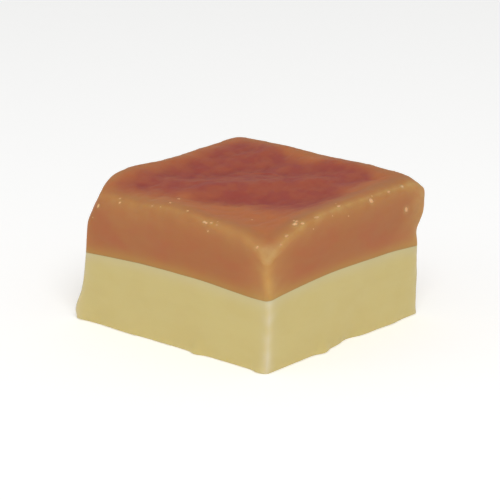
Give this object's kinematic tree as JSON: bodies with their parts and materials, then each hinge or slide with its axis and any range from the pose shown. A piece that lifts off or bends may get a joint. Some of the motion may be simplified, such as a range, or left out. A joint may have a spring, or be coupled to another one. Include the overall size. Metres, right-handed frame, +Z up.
{
  "type": "fudge cube",
  "caption": "Soft fudge cut square: a caramel layer with a raised rim and a creased, slightly sunken top, on a pale vanilla layer with a ragged foot.",
  "frame": {"origin": "middle of the footprint's box, on the flat base that the cube rests on", "axes": "+Z up through both layers; +X and -Y face the two cut sides that meet at the front edge"},
  "size_m": [0.0272, 0.0254, 0.0155],
  "materials": {
    "vanilla": "pale vanilla fudge, smooth and faintly waxy",
    "caramel": "golden brown caramel fudge, translucent at its edges, with a soft waxy sheen"
  },
  "bodies": {
    "root": {"vanilla_layer": "vanilla", "caramel_layer": "caramel"}
  },
  "joints": []
}
